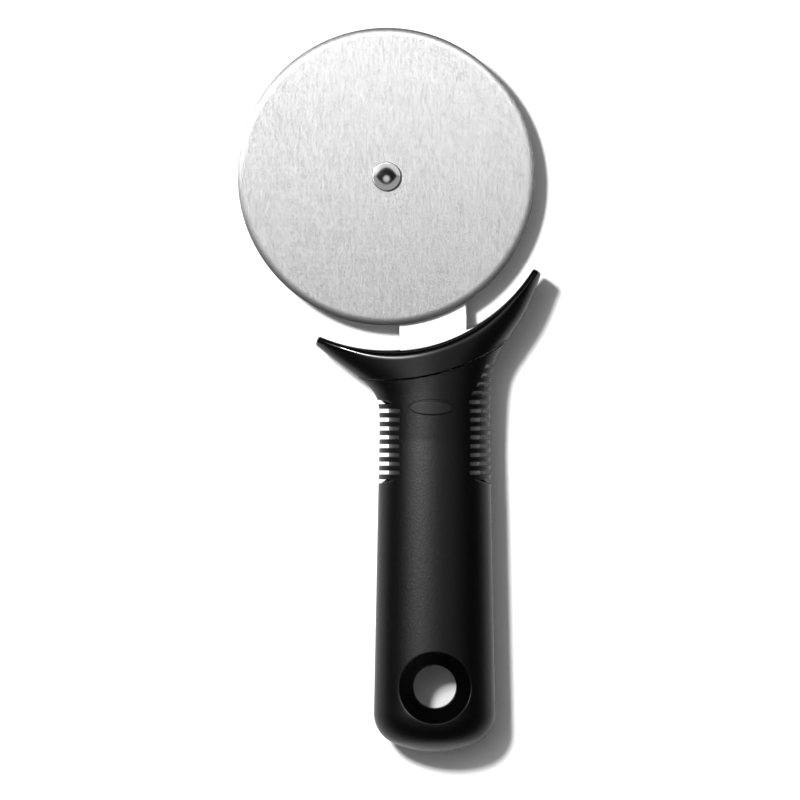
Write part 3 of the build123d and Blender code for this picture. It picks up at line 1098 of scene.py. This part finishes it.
def brushed_steel(tint):
    """Steel brushed along the handle: fine streaks that spread the light across them."""
    surface = Surface("Brushed blade steel")
    place = surface.place()
    near, far = (
        surface.out("ShaderNodeMapping", links={"Vector": place, "Scale": scale})
        for scale in ((24000.0, 120.0, 120.0), (700.0, 12.0, 12.0))
    )
    fine = surface.noise(near, 1.0, 3.0, Roughness=0.6)
    broad = surface.noise(far, 1.0, 2.0)
    bump = surface.bump(fine, 1.0, 0.00004, **{"Filter Width": 0.03})
    rough = 0.38 + 0.02 * (broad - 0.5)
    return surface.finish(tint, Metallic=1.0, Roughness=rough, Normal=bump)


def plain_finish(name, tint, **values):
    """A surface that is the same all over."""
    return Surface(name).finish(tint, **values)


def satin_plate(tint):
    """The arm's satin plating."""
    surface = Surface("Satin plating")
    grain = surface.noise(surface.place(), 900.0, 4.0)
    return surface.finish(tint, Metallic=1.0, Roughness=0.41 + 0.04 * (grain - 0.5))


def guard_plastic(tint, gloss_radius):
    """Hard black plastic with a faint moulded grain, polished up to a radius round the wheel."""
    surface = Surface("Guard plastic")
    place = surface.place()
    grain = surface.noise(place, 700.0, 3.0)
    bump = surface.bump(grain, 0.4, 0.00004)
    x, y, _ = surface.parts(place)
    radius = off_axis(x - WHEEL.x, y - WHEEL.y)
    matt = ((radius - gloss_radius) / (0.8 * MM)).clamped()
    rough = 0.14 + 0.18 * matt + 0.04 * (grain - 0.5)
    return surface.finish(tint, Roughness=rough, Specular_IOR_Level=0.30, Normal=bump)


def grip_rubber(tint):
    """Soft black rubber with a fine mottled grain, and duller in the gaps between the fins."""
    surface = Surface("Grip rubber")
    place = surface.place()
    mottle = surface.noise(place, 1200.0, 2.0)
    pores = surface.noise(place, 8000.0, 2.0)
    bump = surface.bump(pores + 0.9 * mottle, 1.0, 0.00003)
    gap = surface.out("ShaderNodeAttribute", {"attribute_name": "gap"}, output="Fac")
    rough = 0.34 + 0.46 * gap + 0.04 * (mottle - 0.5)
    return surface.finish(tint, Roughness=rough, Specular_IOR_Level=0.25, Normal=bump)


def dress(piece, body, slot, *nodes):
    """Puts a finished piece on its body, in place of its solids."""
    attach(piece, body)
    if nodes:
        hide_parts(*nodes)


# Operators


class CUTTER_OT_blade(bpy.types.Operator):
    """Make the cutting disc, whose faces round off to a thin edge"""

    bl_idname = "cutter.blade"
    bl_label = "Blade"

    def execute(self, context):
        blade = context.scene.cutter_blade
        flat = blade.radius - blade.bevel
        half = blade.thickness / 2
        land = blade.land / 2
        face = [(radius, half) for radius in np.linspace(6 * MM, flat, 12)]
        # The face rounds off ever more steeply towards its edge.
        for share in np.linspace(0, 1, 14)[1:]:
            drop = (half - land) * share**2.5
            face.append((flat + (blade.bevel - land) * share, half - drop))
        face.append((blade.radius - 0.3 * land, 0.7 * land))
        face = [(blade.bore, half), *face]
        profile = [(radius, WHEEL.z - height) for radius, height in face]
        profile.append((blade.radius, WHEEL.z))
        profile += [(radius, WHEEL.z + height) for radius, height in reversed(face)]
        steel = brushed_steel(blade.steel)
        piece = turned("blade", profile, steel, 360, math.radians(20))
        dress(piece, "wheel", "blade_steel", "wheel_blade")
        return {"FINISHED"}


class CUTTER_OT_hub(bpy.types.Operator):
    """Make the flanged bush and the two washers"""

    bl_idname = "cutter.hub"
    bl_label = "Bush and washers"

    def execute(self, context):
        hub, blade = context.scene.cutter_hub, context.scene.cutter_blade
        bore = hub.pin + hub.clearance
        flange = (BUSH_HIGH.x - BUSH_LOW.x) / 2
        bush = [
            (bore, BUSH_LOW.z),
            (flange, BUSH_LOW.z),
            (flange, BLADE_LOW.z),
            (blade.bore, BLADE_LOW.z),
            (blade.bore, BUSH_HIGH.z),
            (bore, BUSH_HIGH.z),
        ]
        front, rear = (
            tube_outline(bore, (high.x - low.x) / 2, low.z, high.z)
            for low, high in ((FRONT_LOW, FRONT_HIGH), (REAR_LOW, REAR_HIGH))
        )
        plastic = plain_finish("Bearing plastic", hub.plastic, Roughness=0.45)
        for name, body, node, outline in (
            ("bush", "wheel", "hub_bush", bush),
            ("washer_front", "handle", "front_washer", front),
            ("washer_rear", "handle", "rear_washer", rear),
        ):
            piece = turned(name, soften(outline, hub.softness / 2, 3), plastic, 128)
            dress(piece, body, "bearing_plastic", node)
        return {"FINISHED"}


class CUTTER_OT_pin(bpy.types.Operator):
    """Make the domed pin and the collar that it is closed over"""

    bl_idname = "cutter.pin"
    bl_label = "Pin and collar"

    def execute(self, context):
        hub = context.scene.cutter_hub
        steel = plain_finish("Polished pin steel", hub.steel, Metallic=1.0, Roughness=0.08)
        head = (PIN_HIGH.x - PIN_LOW.x) / 2
        radii = np.linspace(0, head, 61)
        share = radii / head
        # The head's slope grows to the dome's, again towards the edge, and steeply over the edge.
        tilt = hub.dome * np.minimum(share / 0.75, 1)
        tilt += math.radians(7) * np.clip((share - 0.87) / 0.1, 0, 1)
        tilt += math.radians(50) * np.maximum((share - 0.97) / 0.03, 0) ** 2
        drop = np.cumsum(np.tan(tilt)) * radii[1]
        dome = list(zip(radii[:0:-1], (PIN_HIGH.z - drop)[:0:-1]))
        foot = [(0, PIN_LOW.z), (hub.pin, PIN_LOW.z), (hub.pin, FRONT_HIGH.z), (head, FRONT_HIGH.z)]
        pin = turned("pin", foot + dome + [(0, PIN_HIGH.z)], steel, 128, math.radians(50))
        dress(pin, "handle", "pin_steel", "axle_pin")
        outer = (COLLAR_HIGH.x - COLLAR_LOW.x) / 2
        ring = tube_outline(hub.pin + hub.clearance, outer, COLLAR_LOW.z, COLLAR_HIGH.z)
        collar = turned("collar", soften(ring, 0.35 * MM, 6), steel, 128)
        dress(collar, "handle", "pin_steel", "axle_collar")
        return {"FINISHED"}


class CUTTER_OT_arm(bpy.types.Operator):
    """Make the swept arm with its boss and its tang"""

    bl_idname = "cutter.arm"
    bl_label = "Arm"

    def execute(self, context):
        arm = context.scene.cutter_arm
        hub = context.scene.cutter_hub
        satin = satin_plate(arm.plate)
        front = ARM_HIGH.z
        back = front - arm.thickness
        piece = plate("arm", arm_outline(arm), back, front, arm.softness, satin)
        middle = (arm.left + arm.right) / 2
        top = WHEEL.y - context.scene.cutter_guard.inner - 2 * MM
        low_half, top_half = 4.5 * MM, 6.5 * MM
        corners = [
            (middle - low_half, ARM_LOW.y),
            (middle + low_half, ARM_LOW.y),
            (middle + top_half, top),
            (middle - top_half, top),
        ]
        sunk = 0.01 * MM
        tang = plate("tang", corners, back + sunk, front - sunk, 0.05 * MM, satin, 1)
        combine(piece, tang, "UNION")
        outline = tube_outline(0, arm.boss - arm.softness, ARM_LOW.z, front - arm.softness)
        combine(piece, turned("boss", soften(outline, 0.3 * MM), satin, 128), "UNION")
        hole = tube_outline(0, hub.pin + hub.clearance, ARM_LOW.z - MM, front + MM)
        combine(piece, turned("bore", hole, satin, 96), "DIFFERENCE")
        dress(piece, "handle", "arm_plate", "neck_arm")
        return {"FINISHED"}


class CUTTER_OT_guard(bpy.types.Operator):
    """Make the finger guard with its slot for the arm"""

    bl_idname = "cutter.guard"
    bl_label = "Finger guard"

    def execute(self, context):
        scene = context.scene
        guard, arm = scene.cutter_guard, scene.cutter_arm
        plastic = guard_plastic(guard.plastic, guard.inner + 0.6 * guard.rim)
        piece = guard_mesh("guard", HandleForm(scene.cutter_handle, guard), plastic)
        gap = 0.15 * MM
        front = ARM_HIGH.z + gap
        back = ARM_HIGH.z - arm.thickness - gap
        slot = plate("arm_slot", arm_outline(arm, gap), back, front, 0.01 * MM, plastic, 1)
        combine(piece, slot, "DIFFERENCE", math.radians(35))
        dress(piece, "handle", "guard_plastic", "finger_guard")
        return {"FINISHED"}


class CUTTER_OT_grip(bpy.types.Operator):
    """Make the soft grip with its squeeze fins, its hang hole and its bare oval"""

    bl_idname = "cutter.grip"
    bl_label = "Grip"

    def execute(self, context):
        scene = context.scene
        fins, badge = scene.cutter_fins, scene.cutter_badge
        form = HandleForm(scene.cutter_handle, scene.cutter_guard)
        recess = RecessForm(form, fins)
        rubber = grip_rubber(scene.cutter_handle.rubber)
        piece = grip_mesh("grip", form, recess, rubber)
        tree, named = squeeze_fin_tree(rubber)
        modifier = piece.modifiers.new("Squeeze fins", "NODES")
        modifier.node_group = tree
        modifier[named["Pitch"]] = fins.pitch
        modifier[named["Thickness"]] = fins.thickness
        modifier[named["First gap"]] = recess.first_gap
        modifier[named["Softness"]] = fins.softness
        made_plain(piece)
        sharp = math.radians(38)
        sharpen(piece.data, sharp)
        half_width, half_height = badge.half_width, badge.half_height
        wide, tall = half_width + badge.groove, half_height + badge.groove
        walls = [(0, -badge.depth), (0, 2 * MM)]
        pocket = oval_solid("pocket", form, badge, wide, tall, walls, rubber)
        combine(piece, pocket, "DIFFERENCE", sharp)
        dress(piece, "handle", "grip_rubber", "grip_sleeve")
        edge = 0.3 * MM
        profile = [(0, -badge.depth + 0.02 * MM)]
        profile += [(edge * near, badge.rise - edge * (1 - up)) for near, up in quarter(6)]
        face = plain_finish(
            "Badge plastic", badge.plastic, Roughness=0.45, Specular_IOR_Level=0.25
        )
        oval = oval_solid("badge_oval", form, badge, half_width, half_height, profile, face)
        dress(oval, "handle", "grip_rubber")
        return {"FINISHED"}


class CUTTER_OT_inside(bpy.types.Operator):
    """Give the hidden core and its dowel their finishes"""

    bl_idname = "cutter.inside"
    bl_label = "Hidden pieces"

    def execute(self, context):
        core = plain_finish("Core plastic", (0.03, 0.03, 0.03), Roughness=0.5)
        dowel = plain_finish("Dowel steel", (0.5, 0.5, 0.5), Metallic=1.0, Roughness=0.08)
        for node, material, slot in (
            ("handle_core", core, "core_plastic"),
            ("tang_pin", dowel, "dowel_steel"),
        ):
            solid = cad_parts[node]
            solid.data.materials.clear()
            solid.data.materials.append(material)
        return {"FINISHED"}


class CUTTER_OT_stage(bpy.types.Operator):
    """Set up the floor, the lights and the camera"""

    bl_idname = "cutter.stage"
    bl_label = "Stage"

    def execute(self, context):
        scene = context.scene
        stage = scene.cutter_stage
        scene.view_settings.view_transform = "Standard"
        self.lay_floor(scene, stage)
        self.hang_lights(scene, stage)
        self.light_room(scene)
        camera_data = bpy.data.cameras.new("Camera")
        camera_data.sensor_width = 36.0
        camera_data.lens = camera_data.sensor_width * stage.distance / stage.frame_width
        camera_data.clip_start = 0.01
        camera = bpy.data.objects.new("Camera", camera_data)
        camera.location = (stage.frame_x, stage.frame_y, stage.distance)
        scene.collection.objects.link(camera)
        scene.camera = camera
        return {"FINISHED"}

    def lay_floor(self, scene, stage):
        surface = Surface("Floor paper")
        x, y, _ = surface.parts(surface.place())
        # Painted shade: the paper's colour is darkened within a radius of the hang hole's centre,
        # standing in for deeper shade there.
        painted_shade_disc = off_axis(x, y) < stage.painted_shade_radius
        paper = stage.floor * (1 - stage.painted_shade * painted_shade_disc)
        material = surface.finish(paper, Roughness=0.9, Specular_IOR_Level=0.0)
        size = stage.floor_size
        low = CAD_BOX[0].z - stage.floor_gap
        mesh = bpy.data.meshes.new("floor")
        corners = [(-size, -size, low), (size, -size, low), (size, size, low), (-size, size, low)]
        mesh.from_pydata(corners, [], [(0, 1, 2, 3)])
        mesh.materials.append(material)
        floor = bpy.data.objects.new("floor", mesh)
        scene.collection.objects.link(floor)

    def hang_lights(self, scene, stage):
        lamp = bpy.data.lights.new("Key", "POINT")
        lamp.energy = stage.key
        lamp.shadow_soft_size = stage.key_size
        key = bpy.data.objects.new("Key", lamp)
        key.location = stage.key_place
        scene.collection.objects.link(key)

    def light_room(self, scene):
        """A dark room whose reflections in the pin are two pale cards, a glint and a bright arc"""
        world = bpy.data.worlds.new("Studio")
        world.use_nodes = True
        scene.world = world
        graph = Graph(world.node_tree)
        background = world.node_tree.nodes["Background"]
        x, y, z = graph.parts(graph.out("ShaderNodeTexCoord", output="Generated"))
        up = z.math("MAXIMUM", 0.02)
        # Tangents of the angles from the zenith, across and along the handle, and in all
        across = x / up
        along = y / up
        off = off_axis(across, along)

        def edge(value, soft):
            """Nought below the value's nought and one above it, over a soft edge."""
            return (value / soft + 0.5).clamped()

        almond = 0.2 - 3.15 * across * across
        risen = along - 0.045
        near = edge(0.66 - off, 0.12)
        above = edge(risen - almond, 0.05) * (risen > 0)
        below = edge(-1 * risen - almond, 0.05) * (risen < 0)
        glint = edge(0.068 - 0.3 * along - off, 0.04)
        toward_key = (0.64 * along - 0.77 * across) / off
        arc = edge(0.04 - (off - 0.45).math("ABSOLUTE"), 0.03) * edge(toward_key - 0.45, 0.3)
        strength = 0.01 + near * (0.95 * above + 0.45 * below) + 0.8 * glint + 3.0 * arc
        graph.join(strength * (z > 0), background.inputs["Strength"])
        graph.join((1.0, 1.0, 1.0, 1.0), background.inputs["Color"])


SETTINGS = {
    "cutter_blade": BladeSettings,
    "cutter_hub": HubSettings,
    "cutter_arm": ArmSettings,
    "cutter_handle": HandleSettings,
    "cutter_fins": FinSettings,
    "cutter_guard": GuardSettings,
    "cutter_badge": BadgeSettings,
    "cutter_stage": StageSettings,
}
OPERATORS = (
    CUTTER_OT_blade,
    CUTTER_OT_hub,
    CUTTER_OT_pin,
    CUTTER_OT_arm,
    CUTTER_OT_guard,
    CUTTER_OT_grip,
    CUTTER_OT_inside,
    CUTTER_OT_stage,
)


class CUTTER_PT_panel(bpy.types.Panel):
    """Sizes, colours and operators of the pizza cutter"""

    bl_label = "Pizza Cutter"
    bl_idname = "CUTTER_PT_panel"
    bl_space_type = "VIEW_3D"
    bl_region_type = "UI"
    bl_category = "Pizza Cutter"

    def draw(self, context):
        for name, group in SETTINGS.items():
            box = self.layout.box()
            settings = getattr(context.scene, name)
            for prop in group.__annotations__:
                box.prop(settings, prop)
        for operator in OPERATORS:
            self.layout.operator(operator.bl_idname)


CLASSES = (*SETTINGS.values(), *OPERATORS, CUTTER_PT_panel)


def register():
    for item in CLASSES:
        bpy.utils.register_class(item)
    for name, group in SETTINGS.items():
        setattr(bpy.types.Scene, name, PointerProperty(type=group))


def unregister():
    for name in SETTINGS:
        delattr(bpy.types.Scene, name)
    for item in reversed(CLASSES):
        bpy.utils.unregister_class(item)


def main():
    register()
    for operator in OPERATORS:
        group, name = operator.bl_idname.split(".")
        getattr(getattr(bpy.ops, group), name)()


if __name__ == "__main__":
    main()
